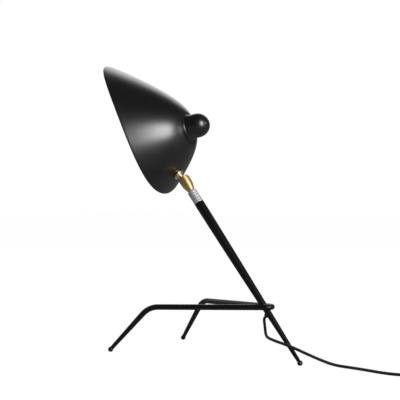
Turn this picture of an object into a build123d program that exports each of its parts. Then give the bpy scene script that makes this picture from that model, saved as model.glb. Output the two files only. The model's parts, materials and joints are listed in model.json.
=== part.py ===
from build123d import *
import math
import os

os.makedirs("parts", exist_ok=True)

# Table lamp on three thin legs: a leaning tapered stem carries a spun shade on a brass ball swivel.
# Millimetres and degrees. X points from the rear foot to the front feet, Z is up, and the origin
# lies on the table under the rear foot.

# Fits shared by all pieces
overrun = 1.0
pin_clearance = 0.05
body_clearance = 0.3
cap_clearance = 0.3

# Feet: turned balls with a small flat, pinned into the rod ends
foot_ball_radius = 4.1
foot_flat_cut = 0.4
foot_pin_radius = 1.3
foot_pin_length = 6.0

# Stem: one tapered tube from the rear foot up to the collar
stem_lean_angle = 39.65
stem_length = 300.0
stem_foot_radius = 2.7
stem_top_radius = 7.85
stem_swell = 0.72
lead_bore_radius = 2.4

# Front legs: one rod bent round the stem and down to both front feet
leg_rod_radius = 4.4
leg_end_radius = 3.1
leg_bend_forward = 239.7
leg_bend_side = 64.75
leg_bend_height = 73.3
leg_bend_radius = 38.0
leg_foot_forward = 302.2
leg_foot_side = 86.95
hairpin_reach = 100.0
hairpin_radius = 8.2
braze_sink = 0.2

# Collar and swivel on top of the stem
collar_radius = 7.65
collar_length = 24.0
collar_rib_count = 5
collar_rib_depth = 0.4
swivel_washer_radius = 5.2
swivel_washer_thickness = 2.4
swivel_tube_radius = 4.0
swivel_tube_socket = 14.0
swivel_nut_radius = 5.2
swivel_nut_thickness = 3.0
cup_base_radius = 5.4
cup_waist_radius = 7.3
cup_waist_rise = 5.0
cup_belly_radius = 9.35
cup_belly_rise = 17.0
cup_floor = 5.0
cup_cavity_radius = 5.6
ball_rise = 23.0
ball_radius = 7.5
ring_seat_rise = 0.5
ring_height = 3.0
ring_seat_radius = 9.2
ring_mouth_radius = 8.3
ring_bulge = 0.3

# Ball stud that carries the shade
stud_radius = 3.2
stud_bore_radius = 1.9
stud_reach = 14.0
stud_tail = 9.0
flange_radius = 9.0
flange_thickness = 1.8
flange_edge_radius = 0.5
bell_root_radius = 3.8
bell_mouth_radius = 7.9
bell_length = 4.0
stud_washer_radius = 6.0
stud_washer_thickness = 1.0
stud_nut_flats = 10.0
stud_nut_thickness = 4.0

# Shade: spun bowl with a domed knob on its back, cut by a curved rim
shade_turn_angle = 14.6
shade_tilt_angle = 12.0
shade_wall = 1.2
knob_length = 34.3
knob_base_radius = 19.5
knob_taper_angle = 1.0
knob_fillet = 3.0
bowl_depth = 130.0
bowl_swell = 59.2
bowl_swell_exponent = 0.514
bowl_flare_share = 0.448
bowl_profile_count = 6
rim_low_height = -100.0
rim_low_depth = 67.1
rim_mid_height = 20.0
rim_mid_depth = 69.9
rim_tip_height = 140.0
rim_tip_depth = 125.9
stud_seat_depth = 35.4

# Lampholder and bulb in the knob
holder_radius = 13.9
holder_mouth_depth = 10.0
holder_top_rise = 27.0
holder_shoulder_rise = 20.0
holder_top_radius = 9.0
holder_bore_top_rise = 18.0
clip_rise = 3.0
clip_thickness = 1.2
clip_gap_count = 3
clip_gap_width = 6.0
bulb_cap_radius = 7.0
bulb_contact_radius = 3.5
bulb_cap_rise = 14.0
bulb_cap_depth = 11.0
bulb_neck_radius = 9.5
bulb_radius = 22.5
bulb_wall = 1.0
bulb_centre_depth = 35.0
shade_lead_radius = 1.4

# Mains cord: exit, route on the table, coil and tie
cord_radius = 2.2
cord_exit_drop = 12.0
bush_radius = 2.9
bush_flange_radius = 3.9
bush_flange_thickness = 1.1
bush_inset = 0.2
cord_arc_share = 0.45
coil_half_turn_count = 7
coil_sample_count = 24
coil_inner_radius = 16.4
coil_gap = 1.3
tie_thickness = 0.8
tie_width = 6.0

# In-line switch
switch_length = 56.0
switch_width = 23.0
switch_height = 14.0
switch_axis_height = 7.0
switch_edge_radius = 2.6
relief_length = 20.0
relief_root_radius = 4.6
relief_lip = 0.7
rocker_half_length = 8.8
rocker_half_width = 4.0
rocker_top_rise = 5.2
rocker_dip = 1.2
rocker_keel = 2.2
rocker_chine = 0.5
rocker_pin_radius = 1.25
rocker_pin_reach = 1.5
rocker_pivot_rise = 3.0
rocker_throw_angle = 16.0
rocker_side_clearance = 0.25
rocker_end_clearance = 0.9

# Two-pin plug
plug_relief_length = 26.0
plug_width = 35.0
plug_length = 30.0
plug_corner_radius = 5.0
plug_nose_length = 9.0
plug_nose_width = 26.0
plug_pin_radius = 2.0
plug_pin_length = 19.0
plug_pin_spacing = 19.0

# Route of the mains cord from the stem to the switch: it leaves the stem, drops in a tight fold,
# passes beside the stem and runs out along the table
cord_route = [
    (58.5, 0.0, 69.5),
    (64.6, 0.0, 64.4),
    (67.6, -4.6, 57.0),
    (66.6, -5.2, 48.0),
    (63.2, -1.6, 41.0),
    (55.4, 5.0, 36.2),
    (38.5, 8.2, 33.0),
    (16.5, 8.5, 29.0),
    (0.0, 6.5, 24.0),
    (-16.5, 0.5, 17.0),
    (-31.5, -8.0, 10.0),
    (-46.5, -16.0, 4.2),
    (-63.0, -22.0, 2.2),
    (-82.5, -21.5, 2.2),
    (-104.5, -18.0, 2.2),
    (-128.0, -14.0, 2.2),
    (-152.5, -15.5, 2.2),
    (-175.5, -21.5, 4.0),
    (-193.5, -26.0, 7.0),
    (-208.0, -26.0, 7.0),
]

# Route of the cord from the switch to the coil
coil_lead_route = [
    (-304.0, -26.0, 7.0),
    (-316.0, -26.0, 7.0),
    (-329.0, -26.6, 4.6),
    (-342.0, -27.0, 3.0),
    (-353.0, -27.0, 3.0),
]

# Route of the lead inside the shade, along the shade's front and axis directions: first from the
# end of the stud, then from the side of the lampholder
shade_lead_stud_run = [
    (-0.8, 0.7),
    (4.1, -3.7),
    (11.2, -5.4),
]
shade_lead_holder_run = [
    (-31.0, -43.0),
    (-26.0, -35.5),
    (-22.1, -26.5),
    (-18.1, -17.5),
    (-12.6, -10.5),
    (-6.1, -6.5),
    (-0.1, -6.5),
]


def spun(outline):
    """Turn a closed outline, drawn as radius and height, about the Z axis."""
    return revolve(make_face(Plane.XZ * outline), axis=Axis.Z)


def bar(radius, low, high):
    """A round bar on the Z axis between two heights."""
    return Pos(0, 0, low) * Cylinder(radius, high - low, align=(Align.CENTER, Align.CENTER, Align.MIN))


def save(node, shape):
    """Write one piece under its own name."""
    export_step(shape, f"parts/{node}.step")


def fold_radii(points):
    """The largest arc that each corner of a cord's route has room for."""
    places = [Vector(*point) for point in points]
    radii = []
    for before, here, after in zip(places, places[1:], places[2:]):
        run_in = here - before
        run_out = after - here
        half_turn = math.radians(run_in.get_angle(run_out)) / 2
        shorter = min(run_in.length, run_out.length)
        radii.append(cord_arc_share * shorter / math.tan(half_turn))
    return radii


def cord_tube(name, points, radius):
    """Sweep a round cord along straight runs joined by tangent arcs."""
    radii = fold_radii(points)
    path = FilletPolyline(*points, radius=radii)
    section = Plane(origin=path @ 0, z_dir=path % 0) * Circle(radius)
    tube = sweep(section, path)
    expected = math.pi * radius ** 2 * path.length
    print(name, "radii", [round(value, 1) for value in radii], "length", round(path.length, 1),
          "volume ratio", round(tube.volume / expected, 4))
    return tube


# Places that several pieces share
foot_height = foot_ball_radius - foot_flat_cut
rear_foot_centre = Vector(0, 0, foot_height)
lean = math.radians(stem_lean_angle)
stem_direction = Vector(math.sin(lean), 0, math.cos(lean))
stem_underside = Vector(math.cos(lean), 0, -math.sin(lean))
stem_plane = Plane(origin=rear_foot_centre, x_dir=stem_underside, z_dir=stem_direction)
stem_start = math.sqrt(foot_ball_radius ** 2 - stem_foot_radius ** 2)
collar_top = stem_length + collar_length
cup_base = collar_top + swivel_washer_thickness
ball_reach = cup_base + ball_rise
ball_centre = rear_foot_centre + stem_direction * ball_reach
socket_radius = ball_radius + body_clearance
cord_exit_reach = hairpin_reach - cord_exit_drop
swivel_tube_top = cup_base + cup_floor + body_clearance + swivel_nut_thickness
relief_tip_radius = cord_radius + relief_lip


def stem_radius(reach):
    """Radius of the stem at a distance from the rear foot along its axis."""
    share = (reach - stem_start) / (stem_length - stem_start)
    straight = stem_foot_radius + (stem_top_radius - stem_foot_radius) * share
    return straight + stem_swell * 4 * share * (1 - share)


# Base: feet, stem and legs

def foot(centre, rod_direction, rod_radius):
    """A ball foot with a pin into the rod, a shoulder for the rod's end and a flat on the table."""
    shoulder = math.sqrt(foot_ball_radius ** 2 - rod_radius ** 2)
    ball = Sphere(foot_ball_radius) - bar(foot_ball_radius, shoulder, foot_ball_radius + overrun)
    pinned = ball + bar(foot_pin_radius, shoulder - overrun, shoulder + foot_pin_length)
    placed = Plane(origin=centre, z_dir=rod_direction) * pinned
    below = Box(4 * foot_ball_radius, 4 * foot_ball_radius, 2 * foot_ball_radius,
                align=(Align.CENTER, Align.CENTER, Align.MAX))
    return placed - Pos(centre.X, centre.Y, 0) * below


def pin_hole(rod_radius):
    """The hole in a rod's end that takes a foot's pin, with the rod's end at the ball's shoulder."""
    shoulder = math.sqrt(foot_ball_radius ** 2 - rod_radius ** 2)
    return bar(foot_pin_radius + pin_clearance, 0, shoulder + foot_pin_length + overrun)


def stem():
    """The tapered stem with its lead bore, the collar tube's socket and the cord's exit hole."""
    reaches = [stem_start + (stem_length - stem_start) * step / 4 for step in range(5)]
    side = Spline(*[(stem_radius(reach), reach) for reach in reaches])
    ends = Polyline((stem_top_radius, stem_length), (0, stem_length), (0, stem_start),
                    (stem_foot_radius, stem_start))
    body = spun(side + ends)
    body -= pin_hole(stem_foot_radius)
    body -= bar(lead_bore_radius, cord_exit_reach, stem_length + overrun)
    body -= bar(swivel_tube_radius + pin_clearance, stem_length - swivel_tube_socket, stem_length + overrun)
    exit_hole = Rot(0, 90, 0) * bar(bush_radius, 0, stem_top_radius + overrun)
    body -= Pos(0, 0, cord_exit_reach) * exit_hole
    return stem_plane * body


def leg_path_points():
    """Foot, bend, apex, bend and foot of the front rod, with the apex behind the stem."""
    cross = rear_foot_centre + stem_direction * hairpin_reach
    side = stem_radius(hairpin_reach) + leg_rod_radius + braze_sink
    climb_share = side / (leg_bend_side - side)
    apex = Vector(cross.X - (leg_bend_forward - cross.X) * climb_share, 0,
                  cross.Z + (cross.Z - leg_bend_height) * climb_share)
    left_bend = Vector(leg_bend_forward, leg_bend_side, leg_bend_height)
    left_foot = Vector(leg_foot_forward, leg_foot_side, foot_height)
    right_bend = Vector(leg_bend_forward, -leg_bend_side, leg_bend_height)
    right_foot = Vector(leg_foot_forward, -leg_foot_side, foot_height)
    return [left_foot, left_bend, apex, right_bend, right_foot]


def leg_rod():
    """The front rod: a hairpin round the stem, two soft bends and two tapered lower legs."""
    left_foot, left_bend, apex, right_bend, right_foot = leg_path_points()
    down = left_foot - left_bend
    half_turn = math.radians((left_bend - apex).get_angle(down)) / 2
    bend_run = leg_bend_radius * math.tan(half_turn)
    stub = bend_run + leg_rod_radius
    left_stub = left_bend + down.normalized() * stub
    right_stub = Vector(left_stub.X, -left_stub.Y, left_stub.Z)
    path = FilletPolyline(left_stub, left_bend, apex, right_bend, right_stub,
                          radius=[leg_bend_radius, hairpin_radius, leg_bend_radius])
    rod = sweep(Plane(origin=path @ 0, z_dir=path % 0) * Circle(leg_rod_radius), path)
    shoulder = math.sqrt(foot_ball_radius ** 2 - leg_end_radius ** 2)
    for centre, bend, top in ((left_foot, left_bend, left_stub), (right_foot, right_bend, right_stub)):
        up = (bend - centre).normalized()
        taper = Cone(leg_end_radius, leg_rod_radius, (top - centre).length - shoulder,
                     align=(Align.CENTER, Align.CENTER, Align.MIN))
        rod += Plane(origin=centre + up * shoulder, z_dir=up) * taper
    for centre, bend in ((left_foot, left_bend), (right_foot, right_bend)):
        rod -= Plane(origin=centre, z_dir=bend - centre) * pin_hole(leg_end_radius)
    return rod


def cord_bush(stem_body):
    """A rubber bush through the stem's wall, with a flange shaped to the stem."""
    inner = lead_bore_radius + bush_inset
    outer = stem_radius(cord_exit_reach) + bush_flange_thickness
    block = bar(bush_flange_radius, inner, outer) - bar(cord_radius + pin_clearance, 0, outer + overrun)
    placed = stem_plane * (Pos(0, 0, cord_exit_reach) * (Rot(0, 90, 0) * block))
    return placed - stem_body


# Collar and swivel

def collar():
    """The ribbed metal collar: round ribs with sharp grooves between them."""
    pitch = collar_length / collar_rib_count
    bore = swivel_tube_radius + pin_clearance
    groove = collar_radius - collar_rib_depth
    outline = Polyline((groove, collar_top), (bore, collar_top), (bore, stem_length), (groove, stem_length))
    for rib in range(collar_rib_count):
        low = stem_length + rib * pitch
        outline += ThreePointArc((groove, low), (collar_radius, low + pitch / 2), (groove, low + pitch))
    return stem_plane * spun(outline)


def swivel_tube():
    """The hollow tube that joins stem, collar and cup, with the cup free to turn on it."""
    low = stem_length - swivel_tube_socket
    bore = bar(lead_bore_radius, low - overrun, swivel_tube_top + overrun)
    return stem_plane * (bar(swivel_tube_radius, low, swivel_tube_top) - bore)


def stem_lead():
    """The lead inside the stem, from the cord's exit up to the swivel."""
    low = cord_exit_reach + bush_flange_radius
    return stem_plane * bar(lead_bore_radius - body_clearance, low, swivel_tube_top)


def swivel_nut():
    """A ring nut on the tube that keeps the cup down."""
    low = swivel_tube_top - swivel_nut_thickness
    bore = bar(swivel_tube_radius, low - overrun, swivel_tube_top + overrun)
    return stem_plane * (bar(swivel_nut_radius, low, swivel_tube_top) - bore)


def swivel_washer():
    """The friction washer that the cup turns on."""
    ring = bar(swivel_washer_radius, collar_top, cup_base)
    return stem_plane * (ring - bar(swivel_tube_radius + pin_clearance, collar_top - overrun, cup_base + overrun))


def swivel_cup():
    """The turned brass cup: a goblet with a ball seat, open at the ball's middle."""
    split = ball_reach + ring_seat_rise
    side = Spline((cup_base_radius, cup_base), (cup_waist_radius, cup_base + cup_waist_rise),
                  (cup_belly_radius, cup_base + cup_belly_rise), (ring_seat_radius, split))
    ends = Polyline((ring_seat_radius, split), (0, split), (0, cup_base), (cup_base_radius, cup_base))
    cup = spun(side + ends)
    cup -= bar(swivel_tube_radius + pin_clearance, cup_base - overrun, cup_base + cup_floor + overrun)
    cup -= bar(cup_cavity_radius, cup_base + cup_floor, ball_reach)
    cup -= Pos(0, 0, ball_reach) * Sphere(socket_radius)
    return stem_plane * cup


def cup_ring():
    """The screwed ring that closes the cup over the ball."""
    split = ball_reach + ring_seat_rise
    top = split + ring_height
    belly = (ring_seat_radius + ring_mouth_radius) / 2 + ring_bulge
    side = ThreePointArc((ring_seat_radius, split), (belly, split + ring_height / 2), (ring_mouth_radius, top))
    ends = Polyline((ring_mouth_radius, top), (0, top), (0, split), (ring_seat_radius, split))
    return stem_plane * (spun(side + ends) - Pos(0, 0, ball_reach) * Sphere(socket_radius))


# Shade and the ball stud that it turns on

turn = math.radians(shade_turn_angle)
tilt = math.radians(shade_tilt_angle)
knob_axis = Vector(-math.cos(tilt) * math.cos(turn), -math.cos(tilt) * math.sin(turn), math.sin(tilt))
shade_front = Vector(math.sin(tilt) * math.cos(turn), math.sin(tilt) * math.sin(turn), math.cos(tilt))
taper_angle = math.radians(knob_taper_angle)
fillet_run_share = math.tan((math.pi / 2 - taper_angle) / 2)
crown_radius = knob_base_radius + knob_fillet * fillet_run_share


def bowl_radius(depth):
    """Radius of the bowl's outside at a depth below its crown."""
    return crown_radius + bowl_swell * (depth / bowl_depth) ** bowl_swell_exponent + bowl_flare_share * depth


def bowl_slope(depth):
    """How fast the bowl's radius grows with depth."""
    swell = bowl_swell * bowl_swell_exponent / bowl_depth
    return swell * (depth / bowl_depth) ** (bowl_swell_exponent - 1) + bowl_flare_share


def bowl_normal(depth):
    """Outward direction of the bowl's wall, as radius and height."""
    if depth == 0:
        return (0.0, 1.0)
    slope = bowl_slope(depth)
    size = math.hypot(1, slope)
    return (1 / size, slope / size)


seat_normal = bowl_normal(stud_seat_depth)
seat_radius = bowl_radius(stud_seat_depth)
stud_direction = shade_front * seat_normal[0] - knob_axis * seat_normal[1]
shade_origin = (ball_centre + stud_direction * stud_reach + shade_front * seat_radius
                + knob_axis * stud_seat_depth)
shade_plane = Plane(origin=shade_origin, x_dir=shade_front, z_dir=knob_axis)
stud_plane = Plane(origin=ball_centre, z_dir=stud_direction)


def shade_skin(inset):
    """The shade's spun outside, or its inside when it is inset by the wall, closed on the axis."""
    corner_radius = knob_base_radius - inset / math.cos(taper_angle) + inset * math.tan(taper_angle)
    length = knob_length - inset
    end_radius = ((knob_base_radius - inset / math.cos(taper_angle) - length * math.tan(taper_angle))
                  / (math.cos(taper_angle) - math.tan(taper_angle) * (1 - math.sin(taper_angle))))
    end_centre = length - end_radius
    cone_top = (end_radius * math.cos(taper_angle), end_centre + end_radius * math.sin(taper_angle))
    middle = (math.pi / 2 + taper_angle) / 2
    dome = ThreePointArc((0, length),
                         (end_radius * math.cos(middle), end_centre + end_radius * math.sin(middle)), cone_top)
    fillet = knob_fillet + inset
    run = fillet * fillet_run_share
    cone_end = (corner_radius - run * math.sin(taper_angle), run * math.cos(taper_angle) - inset)
    crown = (corner_radius + run, -inset)
    blend = TangentArc(cone_end, crown, tangent=(math.sin(taper_angle), -math.cos(taper_angle)))
    points = []
    for step in range(bowl_profile_count + 1):
        depth = bowl_depth * (step / bowl_profile_count) ** 2
        normal = bowl_normal(depth)
        points.append((bowl_radius(depth) - inset * normal[0], -depth - inset * normal[1]))
    last = bowl_normal(bowl_depth)
    bowl = Spline(*points, tangents=[(1, 0), (last[1], -last[0])])
    end = points[-1]
    close = Polyline(end, (0, end[1]), (0, length))
    return spun(dome + Line(cone_top, cone_end) + blend + bowl + close)


def shade():
    """The spun shade: an open shell with a domed knob, a curved rim and the stud's hole."""
    shell = shade_skin(0) - shade_skin(shade_wall)
    width = bowl_radius(bowl_depth) + overrun
    rim = ThreePointArc((rim_low_height, -rim_low_depth), (rim_mid_height, -rim_mid_depth),
                        (rim_tip_height, -rim_tip_depth))
    floor = -2 * bowl_depth
    beyond = Polyline((rim_tip_height, -rim_tip_depth), (width, -rim_tip_depth), (width, floor), (-width, floor),
                      (-width, -rim_low_depth), (rim_low_height, -rim_low_depth))
    waste = extrude(make_face(Plane.XZ * (rim + beyond)), amount=width, both=True)
    placed = shade_plane * (shell - waste)
    return placed - stud_plane * bar(stud_radius + pin_clearance, stud_reach - overrun,
                                     stud_reach + stud_tail + overrun)


def ball_stud():
    """The brass ball with its neck, bell flange and hollow threaded stud, turned in one piece."""
    face = stud_reach - body_clearance
    flange = bar(flange_radius, face - flange_thickness, face)
    flange = fillet(flange.edges().filter_by(GeomType.CIRCLE), flange_edge_radius)
    bell = Cone(bell_root_radius, bell_mouth_radius, bell_length, align=(Align.CENTER, Align.CENTER, Align.MIN))
    flange += Pos(0, 0, face - flange_thickness - bell_length) * bell
    stud = Sphere(ball_radius) + bar(stud_radius, 0, stud_reach + stud_tail) + flange
    return stud_plane * (stud - bar(stud_bore_radius, -ball_radius - overrun, stud_reach + stud_tail + overrun))


washer_lift = stud_washer_radius ** 2 * seat_normal[0] / (2 * seat_radius) + pin_clearance
washer_face = stud_reach + shade_wall + washer_lift


def stud_washer():
    """The washer under the nut, inside the shade."""
    top = washer_face + stud_washer_thickness
    ring = bar(stud_washer_radius, washer_face, top)
    return stud_plane * (ring - bar(stud_radius + pin_clearance, washer_face - overrun, top + overrun))


def stud_nut():
    """The hexagon nut that holds the shade on the stud."""
    low = washer_face + stud_washer_thickness
    hexagon = extrude(RegularPolygon(stud_nut_flats / 2, 6, major_radius=False), stud_nut_thickness)
    nut = Pos(0, 0, low) * hexagon - bar(stud_radius, low - overrun, low + stud_nut_thickness + overrun)
    return stud_plane * nut


def holder():
    """The moulded lampholder, with its bore for the bulb's cap."""
    bore = bulb_cap_radius + cap_clearance
    outline = Polyline((0, holder_top_rise), (holder_top_radius, holder_top_rise),
                       (holder_radius, holder_shoulder_rise), (holder_radius, -holder_mouth_depth),
                       (bore, -holder_mouth_depth), (bore, holder_bore_top_rise),
                       (0, holder_bore_top_rise), (0, holder_top_rise))
    return shade_plane * spun(outline)


def holder_clip():
    """The sprung ring that holds the lampholder in the knob, with gaps for air and the lead."""
    top = clip_rise + clip_thickness
    inside = shade_skin(shade_wall)
    ring = inside & bar(crown_radius, clip_rise, top)
    ring -= bar(holder_radius + pin_clearance, clip_rise - overrun, top + overrun)
    gap = Box(crown_radius, clip_gap_width, 2 * top, align=(Align.MIN, Align.CENTER, Align.CENTER))
    for place in range(clip_gap_count):
        notch = Rot(0, 0, 360 / clip_gap_count * place) * (Pos(holder_radius + clip_thickness, 0, 0) * gap)
        ring -= notch
    return shade_plane * ring


def bulb_cap():
    """The bulb's metal screw cap with its centre contact."""
    cap = bar(bulb_cap_radius, -bulb_cap_depth, bulb_cap_rise)
    return shade_plane * (cap + bar(bulb_contact_radius, bulb_cap_rise - overrun, holder_bore_top_rise))


def bulb_glass():
    """The hollow round glass bulb, open at its neck where the cap closes it."""
    outline = Curve()
    mouths = []
    tips = []
    for inset in (0, bulb_wall):
        ball = bulb_radius - inset
        neck = bulb_neck_radius - inset
        neck_end = (neck, math.sqrt(ball ** 2 - neck ** 2) - bulb_centre_depth)
        tip = (0, -bulb_centre_depth - ball)
        mouth = (bulb_cap_radius - inset, -bulb_cap_depth)
        outline += ThreePointArc(neck_end, (ball, -bulb_centre_depth), tip)
        outline += Line(mouth, neck_end)
        mouths.append(mouth)
        tips.append(tip)
    outline += Line(*mouths)
    outline += Line(*tips)
    return shade_plane * spun(outline)


def shade_lead():
    """The lead inside the shade, from the stud's bore round to the side of the lampholder."""
    stud_end = (stud_tail * seat_normal[0] - seat_radius, -stud_tail * seat_normal[1] - stud_seat_depth)
    places = [(stud_end[0] + front, stud_end[1] + axis) for front, axis in shade_lead_stud_run]
    places += [(front - holder_radius, axis) for front, axis in shade_lead_holder_run]
    points = [tuple(shade_plane.from_local_coords(Vector(front, 0, axis))) for front, axis in places]
    return cord_tube("shade_lead", points, shade_lead_radius)


# In-line switch on the cord, lying on the table along X

switch_start = Vector(*cord_route[-1])
switch_centre_x = switch_start.X - relief_length - switch_length / 2
switch_place = Pos(switch_centre_x, switch_start.Y, 0)
pivot_height = switch_axis_height + rocker_pivot_rise
pocket_half_length = rocker_half_length + rocker_end_clearance
pocket_half_width = rocker_half_width + rocker_side_clearance


def switch_lower():
    """The lower half of the switch's case."""
    case = extrude(SlotOverall(switch_length, switch_width), switch_axis_height)
    return switch_place * fillet(case.faces().sort_by(Axis.Z)[0].edges(), switch_edge_radius)


def switch_upper():
    """The upper half of the switch's case, with the rocker's well and its pin holes."""
    case = extrude(SlotOverall(switch_length, switch_width), switch_height - switch_axis_height)
    case = fillet(case.faces().sort_by(Axis.Z)[-1].edges(), switch_edge_radius)
    well = Box(2 * pocket_half_length, 2 * pocket_half_width, 2 * switch_height)
    pin_half = rocker_half_width + rocker_pin_reach + pin_clearance
    pin_bore = Rot(90, 0, 0) * Cylinder(rocker_pin_radius + pin_clearance, 2 * pin_half)
    case = case - well - Pos(0, 0, rocker_pivot_rise) * pin_bore
    return switch_place * (Pos(0, 0, switch_axis_height) * case)


def switch_reliefs():
    """The tapered sleeves where the cord goes into the switch at both ends."""
    sleeve = Cone(relief_root_radius, relief_tip_radius, relief_length,
                  align=(Align.CENTER, Align.CENTER, Align.MIN))
    near = Pos(switch_length / 2, 0, switch_axis_height) * (Rot(0, 90, 0) * sleeve)
    far = Pos(-switch_length / 2, 0, switch_axis_height) * (Rot(0, -90, 0) * sleeve)
    return switch_place * Compound(children=[near, far])


def switch_rocker():
    """The rocker, pressed down at one end, with the pins that it turns on."""
    outline = Polyline((-rocker_half_length, -rocker_chine), (0, -rocker_keel), (rocker_half_length, -rocker_chine),
                       (rocker_half_length, rocker_top_rise), (0, rocker_top_rise - rocker_dip),
                       (-rocker_half_length, rocker_top_rise), (-rocker_half_length, -rocker_chine))
    rocker = extrude(make_face(Plane.XZ * outline), amount=rocker_half_width, both=True)
    rocker += Rot(90, 0, 0) * Cylinder(rocker_pin_radius, 2 * (rocker_half_width + rocker_pin_reach))
    pressed = Rot(0, -rocker_throw_angle / 2, 0) * rocker
    return switch_place * (Pos(0, 0, pivot_height) * pressed)


# Coil of spare cord, its tie and the plug

coil_pitch = 2 * cord_radius + coil_gap
coil_step = coil_pitch / 2
coil_outer_radius = coil_inner_radius + coil_half_turn_count * coil_step
coil_start = Vector(*coil_lead_route[-1])
coil_centre = Vector(coil_start.X - 2 * cord_radius, coil_start.Y - coil_outer_radius, coil_start.Z)


def coil_turns():
    """Ends of each half turn: in along the lower layer, up one layer, and out along the upper one."""
    radii = [coil_outer_radius - coil_step * turn_number for turn_number in range(coil_half_turn_count + 1)]
    radii += radii[::-1]
    ends = []
    for number, radius in enumerate(radii):
        side = 1 if number % 2 == 0 else -1
        layer = 0 if number <= coil_half_turn_count else 1
        ends.append(Vector(coil_centre.X, coil_centre.Y + side * radius, coil_centre.Z + layer * coil_pitch))
    return ends


def coil():
    """The put-away cord: one unbroken tube in two layers of turns, swept on half circles."""
    ends = coil_turns()
    pieces = [Line(coil_start, ends[0])]
    samples = []
    for number, (here, there) in enumerate(zip(ends, ends[1:])):
        middle = (here + there) / 2
        reach = (there - here).length / 2
        side = -1 if number % 2 == 0 else 1
        pieces.append(ThreePointArc(here, middle + Vector(side * reach, 0, 0), there))
        for step in range(coil_sample_count):
            angle = math.pi * step / coil_sample_count
            across = (here - middle) * math.cos(angle)
            samples.append(middle + across + Vector(side * reach * math.sin(angle), 0, 0))
    pieces.append(Line(ends[-1], ends[-1] + Vector(2 * cord_radius, 0, 0)))
    path = Wire(pieces)
    tube = sweep(Plane(origin=coil_start, z_dir=(-1, 0, 0)) * Circle(cord_radius), path)
    apart = [(one - two).length for index, one in enumerate(samples) for two in samples[index + coil_sample_count:]]
    expected = math.pi * cord_radius ** 2 * path.length
    print("coil length", round(path.length, 1), "least gap", round(min(apart) - 2 * cord_radius, 2),
          "volume ratio", round(tube.volume / expected, 4), "outside", round(2 * (coil_outer_radius + cord_radius), 1))
    return tube, ends[-1] + Vector(2 * cord_radius, 0, 0)


def cord_tie():
    """The strap round the coil on the side away from the lamp."""
    low_side = coil_inner_radius - cord_radius
    high_side = coil_outer_radius + cord_radius
    height = coil_pitch + 2 * cord_radius
    outer = Box(high_side - low_side + 2 * tie_thickness, tie_width, height + 2 * tie_thickness)
    inner = Box(high_side - low_side, tie_width + overrun, height)
    middle = Pos(coil_centre.X - (low_side + high_side) / 2, coil_centre.Y, coil_centre.Z + coil_pitch / 2)
    return middle * (outer - inner)


def plug_body(entry):
    """The flat two-pin plug: a tapered sleeve, a rounded grip and a narrower nose."""
    sleeve = Rot(0, 90, 0) * Cone(relief_tip_radius, relief_root_radius, plug_relief_length,
                                  align=(Align.CENTER, Align.CENTER, Align.MIN))
    grip = RectangleRounded(plug_width, 2 * entry.Z, plug_corner_radius)
    nose = RectangleRounded(plug_nose_width, 2 * entry.Z, plug_corner_radius)
    back = Plane(origin=(plug_relief_length, 0, 0), x_dir=(0, 1, 0), z_dir=(1, 0, 0))
    front = back.offset(plug_length)
    body = loft([back * nose, back.offset(plug_nose_length) * grip, front * grip], ruled=True)
    return Pos(*entry) * (sleeve + body), front


def plug_pins(entry, front):
    """The two round contact pins."""
    pin = extrude(front * Circle(plug_pin_radius), plug_pin_length)
    half = plug_pin_spacing / 2
    return Pos(*entry) * Compound(children=[Pos(0, half, 0) * pin, Pos(0, -half, 0) * pin])


def main():
    """Build every piece and write it under its own name."""
    stem_body = stem()
    left_foot, left_bend, apex, right_bend, right_foot = leg_path_points()
    save("stem_tube", stem_body)
    save("leg_hairpin", leg_rod() - stem_body)
    save("foot_rear", foot(rear_foot_centre, stem_direction, stem_foot_radius))
    save("foot_left", foot(left_foot, left_bend - left_foot, leg_end_radius))
    save("foot_right", foot(right_foot, right_bend - right_foot, leg_end_radius))
    save("cord_bush", cord_bush(stem_body))
    save("stem_collar", collar())
    save("swivel_tube", swivel_tube())
    save("stem_lead", stem_lead())
    save("swivel_nut", swivel_nut())
    save("swivel_washer", swivel_washer())
    save("swivel_cup", swivel_cup())
    save("cup_ring", cup_ring())
    save("ball_stud", ball_stud())
    save("stud_washer", stud_washer())
    save("stud_nut", stud_nut())
    save("shade", shade())
    save("holder_body", holder())
    save("holder_clip", holder_clip())
    save("bulb_cap", bulb_cap())
    save("bulb_glass", bulb_glass())
    save("shade_lead", shade_lead())
    save("power_cord", cord_tube("power_cord", cord_route, cord_radius))
    save("switch_lower", switch_lower())
    save("switch_upper", switch_upper())
    save("switch_reliefs", switch_reliefs())
    save("switch_rocker", switch_rocker())
    save("coil_lead", cord_tube("coil_lead", coil_lead_route, cord_radius))
    coil_tube, plug_entry = coil()
    save("cord_coil", coil_tube)
    save("cord_tie", cord_tie())
    plug, plug_front = plug_body(plug_entry)
    save("plug_body", plug)
    save("plug_pins", plug_pins(plug_entry, plug_front))
    print("ball centre", tuple(round(value, 4) for value in ball_centre))
    print("stem axis", tuple(round(value, 6) for value in stem_direction))
    print("stud axis", tuple(round(value, 6) for value in stud_direction))
    print("tilt axis", tuple(round(value, 6) for value in stem_direction.cross(stud_direction).normalized()))
    print("stud angle", round(stem_direction.get_angle(stud_direction), 3))
    print("rocker pivot", round(switch_centre_x, 3), switch_start.Y, pivot_height)
    print("shade origin", tuple(round(value, 4) for value in shade_origin))


main()
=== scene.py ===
import json
import logging
import math
from collections.abc import Callable
from dataclasses import dataclass, field
from enum import Enum

import bpy
from mathutils import Matrix, Vector


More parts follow.
